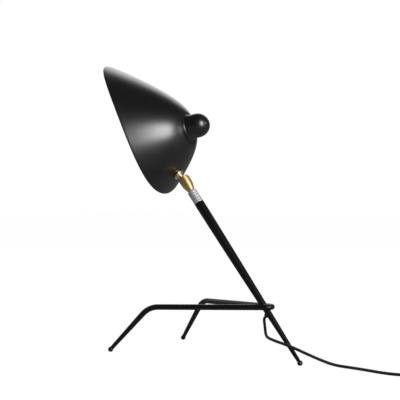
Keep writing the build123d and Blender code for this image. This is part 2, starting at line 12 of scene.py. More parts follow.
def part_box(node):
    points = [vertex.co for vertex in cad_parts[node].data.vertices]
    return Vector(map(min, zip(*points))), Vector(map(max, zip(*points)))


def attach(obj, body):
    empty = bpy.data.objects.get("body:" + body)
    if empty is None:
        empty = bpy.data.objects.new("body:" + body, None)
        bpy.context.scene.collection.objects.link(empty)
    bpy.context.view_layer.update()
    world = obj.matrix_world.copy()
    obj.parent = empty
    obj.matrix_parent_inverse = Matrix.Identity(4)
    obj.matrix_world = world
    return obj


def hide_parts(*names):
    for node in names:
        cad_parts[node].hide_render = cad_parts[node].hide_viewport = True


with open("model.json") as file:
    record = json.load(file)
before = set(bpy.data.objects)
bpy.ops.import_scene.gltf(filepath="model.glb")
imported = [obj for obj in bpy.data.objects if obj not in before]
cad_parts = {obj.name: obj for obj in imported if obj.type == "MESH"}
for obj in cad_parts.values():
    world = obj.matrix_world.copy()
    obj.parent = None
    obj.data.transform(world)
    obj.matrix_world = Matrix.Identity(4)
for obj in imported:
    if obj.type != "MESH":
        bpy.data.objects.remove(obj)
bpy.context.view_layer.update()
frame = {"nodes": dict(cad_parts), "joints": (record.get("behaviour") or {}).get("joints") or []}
LOG = logging.getLogger("table_lamp")

Point = tuple[float, float, float]
Colour = tuple[float, float, float]
Profile = list[tuple[float, float]]
Piece = bpy.types.Object
Material = bpy.types.Material
Socket = bpy.types.NodeSocket

# Modelling: a profile's seed and weld, the angles that count as edges, and what counts as along Y
SEED_SIZE = 0.01
WELD_DISTANCE = 0.000002
EDGE_ANGLE = 35.0
SQUARE_EDGE_ANGLE = 50.0
FACING_SHARE = 0.5

# Cords: how finely they are rounded and followed, and the order of their smooth curve
CORD_ROUNDNESS = 5
CORD_STEPS = 8
CORD_CURVE_ORDER = 3

# A mix node's colour sockets, which go by number because its other sockets have the same names
MIX_COLOUR_INPUTS = (6, 7)
MIX_COLOUR_OUTPUT = 2


class Axis(Enum):
    """Directions that turning lines run across: a joint's, or the plug's own."""

    STEM = "swivel_pan"
    STUD = "shade_roll"
    PLUG = "plug"

    def direction(self) -> Vector:
        """Look the direction up, with the lamp at rest.

        Returns:
            The unit direction.
        """
        if self is Axis.PLUG:
            return Vector((1.0, 0.0, 0.0))
        axes = {joint["name"]: joint["axis"] for joint in frame["joints"]}
        return Vector(axes[self.value]).normalized()


class Operation(Enum):
    """Ways to make one number of two."""

    LARGER = "MAXIMUM"
    TIMES = "MULTIPLY"


class Nodes:
    """A node tree, with short ways to add to it."""

    def __init__(self, tree: bpy.types.NodeTree) -> None:
        """Take the tree to work on."""
        self.tree = tree

    def fill(self, node: bpy.types.Node, *values: object, **inputs: object) -> None:
        """Set or link inputs of a node.

        Args:
            node: The node.
            values: Values or source sockets for its first inputs, in order.
            inputs: Input names, with underscores for spaces, and their values or source sockets.
        """
        named = {name.replace("_", " "): value for name, value in inputs.items()}
        for key, value in [*enumerate(values), *named.items()]:
            socket = node.inputs[key]
            if isinstance(value, Socket):
                self.tree.links.new(value, socket)
            else:
                socket.default_value = value

    def add(self, kind: str, *values: object, options: dict[str, str] | None = None,
            **inputs: object) -> bpy.types.Node:
        """Add a node and set or link its inputs.

        Args:
            kind: The node's type name.
            values: Values or source sockets for its first inputs, in order.
            options: The node's own settings, if any.
            inputs: Input names, with underscores for spaces, and their values or source sockets.

        Returns:
            The new node.
        """
        node = self.tree.nodes.new(kind)
        for name, value in (options or {}).items():
            setattr(node, name, value)
        self.fill(node, *values, **inputs)
        return node

    def combine(self, operation: Operation, first: object, second: object) -> Socket:
        """Make one number of two values or sockets."""
        node = self.add("ShaderNodeMath", first, second, options={"operation": operation.value})
        return node.outputs["Value"]

    def reach(self, place: Socket, along: Vector) -> Socket:
        """How far a place or a direction reaches along a unit direction."""
        node = self.add("ShaderNodeVectorMath", place, along, options={"operation": "DOT_PRODUCT"})
        return node.outputs["Value"]

    def seen_directly(self) -> Socket:
        """One for rays from the camera, also through glass, and zero for other rays."""
        path = self.add("ShaderNodeLightPath").outputs
        return self.combine(Operation.LARGER, path["Is Camera Ray"], path["Is Transmission Ray"])


class Shader(Nodes):
    """A new material with one surface shader, and patterns in the lamp's own frame."""

    def __init__(self, name: str) -> None:
        """Start the material.

        Args:
            name: Its name.
        """
        self.material = bpy.data.materials.new(name)
        self.material.use_nodes = True
        super().__init__(self.material.node_tree)
        self.place = self.add("ShaderNodeTexCoord").outputs["Object"]

    def surface(self, **inputs: object) -> Material:
        """Set or link inputs of the surface shader.

        Args:
            inputs: Input names, with underscores for spaces, and their values or source sockets.

        Returns:
            The finished material.
        """
        self.fill(self.tree.nodes["Principled BSDF"], **inputs)
        return self.material

    def noise(self, scale: float, detail: float) -> Socket:
        """A cloudy pattern from zero to one."""
        node = self.add("ShaderNodeTexNoise", Vector=self.place, Scale=scale, Detail=detail)
        return node.outputs["Fac"]

    def bump(self, pattern: Socket, height: float, strength: float) -> Socket:
        """A surface direction that stands a pattern up to a height."""
        node = self.add("ShaderNodeBump", Height=pattern, Distance=height, Strength=strength)
        return node.outputs["Normal"]

    def spread(self, pattern: Socket, low: float, high: float) -> Socket:
        """Map a pattern from zero and one to two values."""
        node = self.add("ShaderNodeMapRange", Value=pattern, To_Min=low, To_Max=high)
        return node.outputs["Result"]

    def blend(self, pattern: Socket, low: Colour, high: Colour) -> Socket:
        """Map a pattern from zero and one to two colours.

        Args:
            pattern: The pattern.
            low: The colour at zero.
            high: The colour at one.

        Returns:
            The mapped colour.
        """
        node = self.add("ShaderNodeMix", pattern, options={"data_type": "RGBA"})
        for number, colour in zip(MIX_COLOUR_INPUTS, (low, high)):
            node.inputs[number].default_value = (*colour, 1.0)
        return node.outputs[MIX_COLOUR_OUTPUT]


@dataclass(frozen=True)
class PaintFinish:
    """Satin paint with a faint orange peel, a little lighter and rougher in clouds."""

    name: str
    colour: Colour
    roughness: float
    specular: float = 0.4
    peel_scale: float = 420.0
    peel_detail: float = 3.0
    peel_height: float = 0.00002
    peel_strength: float = 0.5
    cloud_size: float = 12.0
    cloud_detail: float = 4.0
    cloud_lift: float = 1.35
    lightest: float = 0.85
    unevenness: float = 0.04

    def make(self) -> Material:
        """Make the paint.

        Returns:
            Its material.
        """
        shader = Shader(self.name)
        peel = shader.noise(self.peel_scale, self.peel_detail)
        cloud = shader.noise(self.peel_scale / self.cloud_size, self.cloud_detail)
        lighter = tuple(min(self.cloud_lift * part, self.lightest) for part in self.colour)
        smoothest, roughest = self.roughness - self.unevenness, self.roughness + self.unevenness
        return shader.surface(
            Base_Color=shader.blend(cloud, self.colour, lighter),
            Roughness=shader.spread(cloud, smoothest, roughest),
            Specular_IOR_Level=self.specular,
            Normal=shader.bump(peel, self.peel_height, self.peel_strength),
        )


@dataclass(frozen=True)
class TurnedMetal:
    """Bare metal off the lathe, with fine lines round its axis and a soft haze of handling."""

    name: str
    colour: Colour
    roughness: float
    axis: Axis = Axis.STEM
    stretch: float = 0.75
    line_scale: float = 2600.0
    line_detail: float = 4.0
    line_height: float = 0.000004
    line_strength: float = 0.6
    haze_scale: float = 160.0
    haze_detail: float = 5.0
    haze_dimming: float = 0.82
    smoother: float = 0.06
    rougher: float = 0.08

    def make(self) -> Material:
        """Make the metal, whose lines stretch a highlight along the axis.

        Returns:
            Its material.
        """
        shader = Shader(self.name)
        along = self.axis.direction()
        to_world = {"vector_type": "VECTOR", "convert_from": "OBJECT", "convert_to": "WORLD"}
        tangent = shader.add("ShaderNodeVectorTransform", options=to_world, Vector=along)
        reach = shader.reach(shader.place, along)
        lines = shader.add("ShaderNodeTexNoise", options={"noise_dimensions": "1D"}, W=reach,
                           Scale=self.line_scale, Detail=self.line_detail)
        haze = shader.noise(self.haze_scale, self.haze_detail)
        darker = tuple(self.haze_dimming * part for part in self.colour)
        return shader.surface(
            Base_Color=shader.blend(haze, darker, self.colour),
            Roughness=shader.spread(haze, self.roughness - self.smoother, self.roughness + self.rougher),
            Metallic=1.0,
            Anisotropic=self.stretch,
            Tangent=tangent.outputs["Vector"],
            Normal=shader.bump(lines.outputs["Fac"], self.line_height, self.line_strength),
        )


@dataclass(frozen=True)
class MouldedFinish:
    """Moulded plastic or rubber with a fine spark-eroded grain and a little wear."""

    name: str
    colour: Colour
    roughness: float
    grain_scale: float = 1800.0
    grain_detail: float = 2.0
    grain_height: float = 0.00004
    grain_strength: float = 0.5
    wear_size: float = 30.0
    wear_detail: float = 4.0
    wear_lift: float = 1.5
    smoother: float = 0.05
    rougher: float = 0.07

    def make(self) -> Material:
        """Make the moulding.

        Returns:
            Its material.
        """
        shader = Shader(self.name)
        grain = shader.noise(self.grain_scale, self.grain_detail)
        wear = shader.noise(self.grain_scale / self.wear_size, self.wear_detail)
        lighter = tuple(self.wear_lift * part for part in self.colour)
        return shader.surface(
            Base_Color=shader.blend(wear, self.colour, lighter),
            Roughness=shader.spread(wear, self.roughness - self.smoother, self.roughness + self.rougher),
            Normal=shader.bump(grain, self.grain_height, self.grain_strength),
        )


@dataclass(frozen=True)
class OpalGlass:
    """Milky glass with a smooth skin."""

    name: str
    colour: Colour
    cloud_scale: float = 60.0
    cloud_detail: float = 3.0
    cloud_dimming: float = 0.94
    smoothest: float = 0.1
    roughest: float = 0.16
    milk_share: float = 0.25
    milk_depth: float = 0.004

    def make(self) -> Material:
        """Make the glass.

        Returns:
            Its material.
        """
        shader = Shader(self.name)
        cloud = shader.noise(self.cloud_scale, self.cloud_detail)
        darker = tuple(self.cloud_dimming * part for part in self.colour)
        return shader.surface(
            Base_Color=shader.blend(cloud, darker, self.colour),
            Roughness=shader.spread(cloud, self.smoothest, self.roughest),
            Subsurface_Weight=self.milk_share,
            Subsurface_Scale=self.milk_depth,
        )


class Finish(Enum):
    """The lamp's finishes."""

    SHADE = PaintFinish("shade_satin_black", (0.0038, 0.0034, 0.0037), 0.32, specular=0.77)
    FRAME = PaintFinish("frame_satin_black", (0.0022, 0.0021, 0.0022), 0.4, peel_scale=700.0)
    FOOT = PaintFinish("foot_gloss_black", (0.0024, 0.0023, 0.0024), 0.22, specular=0.7, peel_scale=900.0)
    LINING = PaintFinish("shade_lining_white", (0.78, 0.77, 0.74), 0.4, specular=0.5, peel_scale=500.0)
    BRASS = TurnedMetal("turned_brass", (0.98, 0.73, 0.34), 0.52, line_height=0.000001)
    # The stud's brass is lighter than the cup's brass: its colour is raised as painted light, standing in for
    # the light that falls on the flange.
    STUD_BRASS = TurnedMetal("turned_stud_brass_lit", (0.99, 0.8, 0.5), 0.36, axis=Axis.STUD, stretch=0.4)
    NICKEL = TurnedMetal("satin_plate", (0.78, 0.78, 0.82), 0.72, stretch=0.2)
    STUD_NICKEL = TurnedMetal("satin_stud_plate", (0.63, 0.63, 0.65), 0.33, axis=Axis.STUD)
    CAP = TurnedMetal("cap_metal", (0.75, 0.74, 0.71), 0.25, axis=Axis.STUD)
    PIN = TurnedMetal("plug_pin_nickel", (0.7, 0.69, 0.66), 0.26, axis=Axis.PLUG, stretch=0.3,
                      line_height=0.000002)
    HOLDER = MouldedFinish("holder_moulding", (0.014, 0.013, 0.013), 0.42)
    SWITCH = MouldedFinish("switch_moulding", (0.013, 0.013, 0.013), 0.45)
    ROCKER = MouldedFinish("rocker_moulding", (0.01, 0.01, 0.01), 0.22, grain_height=0.00001)
    RUBBER = MouldedFinish("cord_sheath", (0.01, 0.01, 0.01), 0.42, grain_scale=1200.0)
    TIE = MouldedFinish("strap_moulding", (0.014, 0.014, 0.014), 0.55)
    OPAL = OpalGlass("opal_glass", (0.92, 0.91, 0.87))

    def material(self) -> Material:
        """The finish's material, made at its first use, under a name that no slot of the frame has."""
        made = bpy.data.materials.get(self.value.name)
        return made if made else self.value.make()


Dressing = dict[Finish, tuple[str, ...]]


class Element(Enum):
    """What can be chosen on a mesh."""

    POINT = "VERT"
    EDGE = "EDGE"
    FACE = "FACE"


class Workbench:
    """Ways to model a piece by hand, each on its own selection."""

    @staticmethod
    def clear() -> None:
        """Deselect everything."""
        bpy.ops.object.select_all(action="DESELECT")

    @staticmethod
    def pick(piece: Piece) -> None:
        """Select one piece alone and make it active.

        Args:
            piece: The piece.
        """
        Workbench.clear()
        piece.select_set(True)
        bpy.context.view_layer.objects.active = piece

    @staticmethod
    def settle(piece: Piece) -> None:
        """Put a piece's place and turn into its mesh."""
        Workbench.pick(piece)
        bpy.ops.object.transform_apply(location=True, rotation=True, scale=True)

    @staticmethod
    def spin(name: str, profile: Profile, steps: int) -> Piece:
        """Turn a profile round the Z axis.

        Args:
            name: The piece's name.
            profile: Radius and height of each point, in order.
            steps: How many steps a full turn has.

        Returns:
            The turned piece, on the Z axis.
        """
        Workbench.clear()
        bpy.ops.mesh.primitive_plane_add(size=SEED_SIZE, location=(0.0, 0.0, 0.0))
        piece = bpy.context.object
        piece.name = name
        bpy.ops.object.mode_set(mode="EDIT")
        bpy.ops.mesh.select_mode(type=Element.POINT.value)
        bpy.ops.mesh.select_all(action="SELECT")
        bpy.ops.mesh.merge(type="CENTER")
        radius, height = profile[0]
        bpy.ops.transform.translate(value=(radius, 0.0, height))
        for next_radius, next_height in profile[1:]:
            step = (next_radius - radius, 0.0, next_height - height)
            bpy.ops.mesh.extrude_vertices_move(TRANSFORM_OT_translate={"value": step})
            radius, height = next_radius, next_height
        bpy.ops.mesh.select_all(action="SELECT")
        bpy.ops.mesh.spin(steps=steps, angle=2 * math.pi, center=(0.0, 0.0, 0.0), axis=(0.0, 0.0, 1.0))
        bpy.ops.mesh.select_all(action="SELECT")
        bpy.ops.mesh.remove_doubles(threshold=WELD_DISTANCE)
        bpy.ops.mesh.normals_make_consistent(inside=False)
        bpy.ops.object.mode_set(mode="OBJECT")
        return piece

    @staticmethod
    def place(piece: Piece, origin: Vector, axis: Vector, front: Vector | None = None) -> None:
        """Stand a piece's Z axis along a direction and put its place into its mesh.

        Args:
            piece: The piece, modelled at the origin.
            origin: Where its origin goes.
            axis: Where its Z axis points.
            front: Where its X axis points, if that matters.
        """
        up = axis.normalized()
        ahead = front.normalized() if front else up.orthogonal().normalized()
        side = up.cross(ahead)
        turn = Matrix((ahead, side, up)).transposed().to_4x4()
        piece.matrix_world = Matrix.Translation(origin) @ turn
        Workbench.settle(piece)

    @staticmethod
    def modify(piece: Piece, kind: str, **settings: object) -> None:
        """Add one modifier and apply it.

        Args:
            piece: The piece.
            kind: The modifier's type.
            settings: Its settings.
        """
        Workbench.pick(piece)
        modifier = piece.modifiers.new(kind.lower(), kind)
        for name, value in settings.items():
            setattr(modifier, name, value)
        bpy.ops.object.modifier_apply(modifier=modifier.name)

    @staticmethod
    def soften(piece: Piece, width: float, angle: float = EDGE_ANGLE, segments: int = 2) -> None:
        """Round the sharp edges and smooth the rest.

        Args:
            piece: The piece.
            width: How wide the rounding is.
            angle: The smallest angle, in degrees, that counts as an edge.
            segments: How many faces round an edge.
        """
        Workbench.modify(piece, "BEVEL", width=width, segments=segments, limit_method="ANGLE",
                         angle_limit=math.radians(angle))
        Workbench.pick(piece)
        bpy.ops.object.shade_smooth_by_angle(angle=math.radians(angle))

    @staticmethod
    def block(name: str, low: Vector, high: Vector) -> Piece:
        """Make a plain block between two corners.

        Args:
            name: The piece's name.
            low: Its low corner.
            high: Its high corner.

        Returns:
            The block, with its place in its mesh.
        """
        Workbench.clear()
        bpy.ops.mesh.primitive_cube_add(size=1.0, location=(low + high) / 2, scale=high - low)
        piece = bpy.context.object
        piece.name = name
        Workbench.settle(piece)
        return piece

    @staticmethod
    def choose(piece: Piece, kind: Element, wanted: Callable[[Vector], bool]) -> None:
        """Go into edit mode with some faces or edges of a piece selected.

        Args:
            piece: The piece.
            kind: Whether faces or edges are chosen.
            wanted: Says whether one is chosen, from a face's normal or an edge's direction.
        """
        Workbench.pick(piece)
        bpy.ops.object.mode_set(mode="EDIT")
        bpy.ops.mesh.select_mode(type=kind.value)
        bpy.ops.mesh.select_all(action="DESELECT")
        bpy.ops.object.mode_set(mode="OBJECT")
        if kind is Element.FACE:
            for face in piece.data.polygons:
                face.select = wanted(face.normal)
        else:
            for edge in piece.data.edges:
                start, end = (piece.data.vertices[index].co for index in edge.vertices)
                edge.select = wanted((end - start).normalized())
        bpy.ops.object.mode_set(mode="EDIT")

    @staticmethod
    def join(name: str, pieces: list[Piece]) -> Piece:
        """Make one piece of several.

        Args:
            name: The joined piece's name.
            pieces: The pieces to join.

        Returns:
            The joined piece.
        """
        Workbench.clear()
        for piece in pieces:
            piece.select_set(True)
        bpy.context.view_layer.objects.active = pieces[0]
        bpy.ops.object.join()
        pieces[0].name = name
        return pieces[0]


def hand_over(piece: Piece, body: str, slot: str, finishes: list[Finish], *nodes: str) -> None:
    """Dress a new piece, hang it on the body that it moves with, and hide the pieces of the frame that it
    stands for.

    Args:
        piece: The piece.
        body: The body that it moves with.
        slot: Not used.
        finishes: Its finishes, in the order of its material slots, for a piece that has none yet.
        nodes: The pieces of the frame that it stands for.
    """
    if not piece.data.materials:
        for finish in finishes:
            piece.data.materials.append(finish.material())
    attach(piece, body)
    if nodes:
        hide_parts(*nodes)
    LOG.info("made %s", piece.name)


def dress_nodes(finishes: Dressing) -> None:
    """Give pieces of the frame their finish.

    Args:
        finishes: The names of the pieces that have each finish.
    """
    for finish, nodes in finishes.items():
        for node in nodes:
            piece = frame["nodes"][node]
            if not piece.material_slots:
                piece.data.materials.append(finish.material())
            for slot in piece.material_slots:
                slot.material = finish.material()
            LOG.info("dressed %s in %s", node, finish.value.name)


@dataclass
class Viewpoint:
    """The camera that the lamp was photographed from: level, and turned round the lamp."""

    turn: float = 40.4
    distance: float = 1.4055
    height: float = 0.24006
    side: float = -0.14488
    focal_pixels: float = 969.6
    frame_pixels: float = 400.0
    sensor: float = 36.0

    def directions(self) -> tuple[Vector, Vector]:
        """Work out how the picture lies.

        Returns:
            The picture's right-hand direction and the direction that the camera looks in.
        """
        turn = math.radians(self.turn)
        right = Vector((-math.cos(turn), -math.sin(turn), 0.0))
        ahead = Vector((math.sin(turn), -math.cos(turn), 0.0))
        return right, ahead

    def build(self) -> None:
        """Make the camera and set it as the scene's own."""
        right, ahead = self.directions()
        data = bpy.data.cameras.new("photo_camera")
        data.sensor_width = self.sensor
        data.lens = self.focal_pixels / self.frame_pixels * self.sensor
        camera = bpy.data.objects.new("photo_camera", data)
        bpy.context.scene.collection.objects.link(camera)
        camera.location = right * self.side - ahead * self.distance + Vector((0.0, 0.0, self.height))
        camera.rotation_euler = ahead.to_track_quat("-Z", "Y").to_euler()
        bpy.context.scene.camera = camera


@dataclass(frozen=True)
class Softbox:
    """A soft rectangular lamp, whose direction is right, deep and up in the picture."""

    name: str
    direction: Point
    size: tuple[float, float]
    brightness: float
    distance: float


@dataclass
class Studio:
    """A white floor in a dim room with a white end behind the lamp, lit by softboxes."""

    view: Viewpoint
    floor_size: float = 24.0
    floor_colour: float = 0.25
    white_share: float = 0.88
    mirror_share: float = 0.08
    white_level: float = 1.12
    dim_level: float = 0.07
    end_lift: float = 0.3
    dim_reach: float = 0.82
    white_reach: float = 0.99
    target: Point = (0.22, 0.06, 0.35)
    softboxes: list[Softbox] = field(default_factory=lambda: [
        Softbox("side_softbox", (0.601, -0.756, 0.259), (1.9, 2.6), 15.8, 5.0),
        Softbox("strip_softbox", (0.951, -0.168, 0.259), (2.0, 0.8), 4.3, 5.0),
        Softbox("back_softbox", (0.14, 0.87, 0.47), (2.2, 1.9), 1.1, 3.2),
        Softbox("fill_softbox", (-0.85, 0.35, 0.38), (4.6, 3.2), 0.87, 4.5),
    ])

    def build_world(self) -> None:
        """Make the room: white for the camera, and for other rays white behind the lamp and dim elsewhere."""
        world = bpy.data.worlds.new("studio")
        bpy.context.scene.world = world
        world.use_nodes = True
        nodes = Nodes(world.node_tree)
        _, ahead = self.view.directions()
        towards = (ahead + Vector((0.0, 0.0, self.end_lift))).normalized()
        direction = nodes.add("ShaderNodeTexCoord").outputs["Generated"]
        end = nodes.add("ShaderNodeMapRange", options={"interpolation_type": "SMOOTHSTEP"},
                        Value=nodes.reach(direction, towards),
                        From_Min=self.dim_reach, From_Max=self.white_reach,
                        To_Min=self.dim_level, To_Max=1.0)
        level = nodes.combine(Operation.LARGER, end.outputs["Result"], nodes.seen_directly())
        nodes.fill(nodes.tree.nodes["Background"], Strength=level, Color=(1.0, 1.0, 1.0, 1.0))

    def build_floor(self) -> None:
        """Make the floor: nearly white for the camera, faint in reflections, with the lamp's shadow on it."""
        Workbench.clear()
        bpy.ops.mesh.primitive_plane_add(size=self.floor_size)
        floor = bpy.context.object
        floor.name = "studio_floor"
        material = bpy.data.materials.new("studio_floor")
        material.use_nodes = True
        nodes = Nodes(material.node_tree)
        nodes.tree.nodes.remove(nodes.tree.nodes["Principled BSDF"])
        mirrored = nodes.add("ShaderNodeLightPath").outputs["Is Glossy Ray"]
        white = nodes.combine(Operation.LARGER,
                              nodes.combine(Operation.TIMES, nodes.seen_directly(), self.white_share),
                              nodes.combine(Operation.TIMES, mirrored, self.mirror_share))
        matte = nodes.add("ShaderNodeBsdfDiffuse", Color=(self.floor_colour,) * 3 + (1.0,))
        glow = nodes.add("ShaderNodeEmission", Strength=self.white_level)
        mix = nodes.add("ShaderNodeMixShader", white, matte.outputs[0], glow.outputs[0])
        nodes.fill(nodes.tree.nodes["Material Output"], Surface=mix.outputs[0])
        floor.data.materials.append(material)

    def build_softbox(self, softbox: Softbox) -> None:
        """Make one softbox that looks at the shade.

        Args:
            softbox: Its place, size and brightness.
        """
        right, ahead = self.view.directions()
        across, deep, rise = softbox.direction
        direction = (right * across + ahead * deep + Vector((0.0, 0.0, rise))).normalized()
        data = bpy.data.lights.new(softbox.name, "AREA")
        data.shape = "RECTANGLE"
        data.size, data.size_y = softbox.size
        data.energy = softbox.brightness * math.pi * data.size * data.size_y
        box = bpy.data.objects.new(softbox.name, data)
        bpy.context.scene.collection.objects.link(box)
        box.location = Vector(self.target) + direction * softbox.distance
        box.rotation_euler = (-direction).to_track_quat("-Z", "Y").to_euler()

    def build(self) -> None:
        """Make the room's light, the floor and the softboxes."""
        self.build_world()
        self.build_floor()
        for softbox in self.softboxes:
            self.build_softbox(softbox)


def lay_cord(name: str, points: list[Point], radius: float, body: str) -> Piece:
    """Lay one stretch of round cord along its points.

    Args:
        name: The stretch's name.
        points: Its control points.
        radius: The cord's radius.
        body: The body that it moves with.

    Returns:
        The stretch.
    """
    data = bpy.data.curves.new(name, "CURVE")
    data.dimensions = "3D"
    data.bevel_depth = radius
    data.bevel_resolution = CORD_ROUNDNESS
    data.resolution_u = CORD_STEPS
    data.use_fill_caps = True
    spline = data.splines.new("NURBS")
    spline.points.add(len(points) - 1)
    for place, point in zip(spline.points, points):
        place.co = (*point, 1.0)
    spline.order_u = CORD_CURVE_ORDER
    spline.use_endpoint_u = True
    cord = bpy.data.objects.new(name, data)
    bpy.context.scene.collection.objects.link(cord)
    data.materials.append(Finish.RUBBER.material())
    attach(cord, body)
    LOG.info("laid %s", name)
    return cord


@dataclass
class InlineSwitch:
    """The switch on the cord, with a ringed sleeve at each end and finger ridges on its rocker."""

    centre: Point = (-0.256, -0.026, 0.007)
    length: float = 0.056
    sleeve_length: float = 0.02
    sleeve_root: float = 0.0046
    sleeve_tip: float = 0.0029
    sleeve_rings: int = 6
    sleeve_groove: float = 0.0008
    groove_lip_share: float = 0.22
    groove_floor_share: float = 0.16
    sleeve_steps: int = 40
    sleeve_round: float = 0.00015
    pivot_rise: float = 0.003
    rocker_tilt: float = 8.0
    rocker_length: float = 0.0088
    rocker_middle: float = 0.004
    rocker_end: float = 0.0052
    ridge_places: tuple[float, ...] = (0.0038, 0.0055, 0.0072)
    ridge_size: Point = (0.0007, 0.0056, 0.0007)
    ridge_round: float = 0.00022
    finishes: Dressing = field(default_factory=lambda: {
        Finish.SWITCH: ("switch_lower", "switch_upper"),
        Finish.ROCKER: ("switch_rocker",),
    })

    def sleeve_profile(self) -> Profile:
        """Draw the ringed sleeve from its root to its tip.

        Returns:
            Radius and height of each point.
        """
        profile = [(0.0, 0.0), (self.sleeve_root, 0.0)]
        ring = self.sleeve_length / (self.sleeve_rings + 1)
        lip, floor = self.groove_lip_share * ring, self.groove_floor_share * ring
        for number in range(1, self.sleeve_rings + 1):
            height = number * ring
            radius = self.sleeve_root + (self.sleeve_tip - self.sleeve_root) * height / self.sleeve_length
            profile += [(radius, height - lip), (radius - self.sleeve_groove, height - floor),
                        (radius - self.sleeve_groove, height + floor), (radius, height + lip)]
        profile += [(self.sleeve_tip, self.sleeve_length), (0.0, self.sleeve_length)]
        return profile

    def build_sleeves(self) -> None:
        """Turn the ringed sleeve for each end of the switch."""
        for side, name in ((1.0, "switch_sleeve_lamp"), (-1.0, "switch_sleeve_plug")):
            sleeve = Workbench.spin(name, self.sleeve_profile(), self.sleeve_steps)
            root = Vector(self.centre) + Vector((side * self.length / 2, 0.0, 0.0))
            Workbench.place(sleeve, root, Vector((side, 0.0, 0.0)))
            Workbench.soften(sleeve, self.sleeve_round)
            hand_over(sleeve, "base", "black_rubber", [Finish.RUBBER], "switch_reliefs")

    def build_ridges(self) -> None:
        """Put finger ridges on both ends of the rocker."""
        pivot = Vector(self.centre) + Vector((0.0, 0.0, self.pivot_rise))
        slope = math.atan2(self.rocker_end - self.rocker_middle, self.rocker_length)
        pressed = Matrix.Rotation(-math.radians(self.rocker_tilt), 4, "Y")
        half = Vector(self.ridge_size) / 2
        pieces = []
        for side in (1.0, -1.0):
            leaning = Matrix.Rotation(-side * slope, 4, "Y")
            for place in self.ridge_places:
                ridge = Workbench.block("rocker_ridge", -half, half)
                spot = Vector((side * place, 0.0, self.rocker_middle + place * math.tan(slope)))
                ridge.matrix_world = Matrix.Translation(pivot) @ pressed @ Matrix.Translation(spot) @ leaning
                Workbench.settle(ridge)
                Workbench.soften(ridge, self.ridge_round)
                pieces.append(ridge)
        ridges = Workbench.join("rocker_ridges", pieces)
        hand_over(ridges, "switch_rocker", "rocker_black", [Finish.ROCKER])

    def build(self) -> None:
        """Make the sleeves and the ridges, and dress the rest."""
        self.build_sleeves()
        self.build_ridges()
        dress_nodes(self.finishes)


@dataclass
class CoilStrap:
    """The strap that ties the coiled cord."""

    thickness: float = 0.0008
    corner_round: float = 0.0019
    corner_segments: int = 6
    edge_round: float = 0.0002

    def build(self) -> None:
        """Bend the strap round the coil, with rounded corners."""
        low, high = (Vector(corner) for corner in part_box("cord_tie"))
        inner = Vector((self.thickness, 0.0, self.thickness))
        strap = Workbench.block("coil_strap", low + inner, high - inner)
        Workbench.choose(strap, Element.FACE, lambda normal: abs(normal.y) > FACING_SHARE)
        bpy.ops.mesh.delete(type="ONLY_FACE")
        bpy.ops.object.mode_set(mode="OBJECT")
        Workbench.choose(strap, Element.EDGE, lambda direction: abs(direction.y) > FACING_SHARE)
        bpy.ops.mesh.bevel(offset=self.corner_round, segments=self.corner_segments)
        bpy.ops.object.mode_set(mode="OBJECT")
        Workbench.modify(strap, "SOLIDIFY", thickness=self.thickness, offset=1.0)
        Workbench.soften(strap, self.edge_round, angle=SQUARE_EDGE_ANGLE)
        hand_over(strap, "base", "tie_black", [Finish.TIE], "cord_tie")


@dataclass
class Plug:
    """The flat plug, with grip ribs on its top and two round pins in black sleeves."""

    grip_places: tuple[float, ...] = (-0.008, -0.0055, -0.003, -0.0005)
    grip_size: Point = (0.0011, 0.021, 0.0012)
    grip_inset: float = 0.004
    grip_round: float = 0.0005
    grip_segments: int = 3
    pin_radius: float = 0.002
    pin_round: float = 0.0011
    pin_tip_steps: int = 6
    pin_steps: int = 32
    pin_edge_round: float = 0.0001
    sheath_length: float = 0.01
    sheath_cover: float = 0.00006
    finishes: Dressing = field(default_factory=lambda: {Finish.SWITCH: ("plug_body",)})

    def build_grip(self) -> None:
        """Put grip ribs on the top of the plug."""
        low, high = (Vector(corner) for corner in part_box("plug_body"))
        middle = Vector((high.x, (low.y + high.y) / 2, high.z))
        half = Vector(self.grip_size) / 2
        pieces = []
        for place in self.grip_places:
            spot = middle + Vector((place - half.x - self.grip_inset, 0.0, 0.0))
            rib = Workbench.block("grip_rib", spot - half, spot + half)
            Workbench.soften(rib, self.grip_round, segments=self.grip_segments)
            pieces.append(rib)
        ribs = Workbench.join("plug_grip", pieces)
        hand_over(ribs, "base", "switch_black", [Finish.SWITCH])

    def pin_profile(self, length: float) -> Profile:
        """Draw a pin from its root to its rounded tip.

        Args:
            length: The pin's length.

        Returns:
            Radius and height of each point.
        """
        shoulder, curve = length - self.pin_round, self.pin_radius - self.pin_round
        profile = [(0.0, 0.0), (self.pin_radius, 0.0)]
        for step in range(self.pin_tip_steps + 1):
            angle = math.pi / 2 * step / self.pin_tip_steps
            profile.append((curve + self.pin_round * math.cos(angle),
                            shoulder + self.pin_round * math.sin(angle)))
        profile.append((0.0, length))
        return profile

    def build_pins(self) -> None:
        """Turn the pins and their black sleeves."""
        low, high = (Vector(corner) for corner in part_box("plug_pins"))
        pin = self.pin_profile(high.x - low.x)
        cover = self.pin_radius + self.sheath_cover
        sheath = [(0.0, 0.0), (cover, 0.0), (cover, self.sheath_length), (0.0, self.sheath_length)]
        pins, sheaths = [], []
        for across in (low.y + self.pin_radius, high.y - self.pin_radius):
            root = Vector((low.x, across, (low.z + high.z) / 2))
            for pieces, profile in ((pins, pin), (sheaths, sheath)):
                piece = Workbench.spin("plug_pin", profile, self.pin_steps)
                Workbench.place(piece, root, Vector((1.0, 0.0, 0.0)))
                Workbench.soften(piece, self.pin_edge_round, angle=SQUARE_EDGE_ANGLE)
                pieces.append(piece)
        hand_over(Workbench.join("round_pins", pins), "base", "pin_nickel", [Finish.PIN], "plug_pins")
        hand_over(Workbench.join("pin_sheaths", sheaths), "base", "switch_black", [Finish.SWITCH])

    def build(self) -> None:
        """Make the ribs and the pins, and dress the rest."""
        self.build_grip()
        self.build_pins()
        dress_nodes(self.finishes)


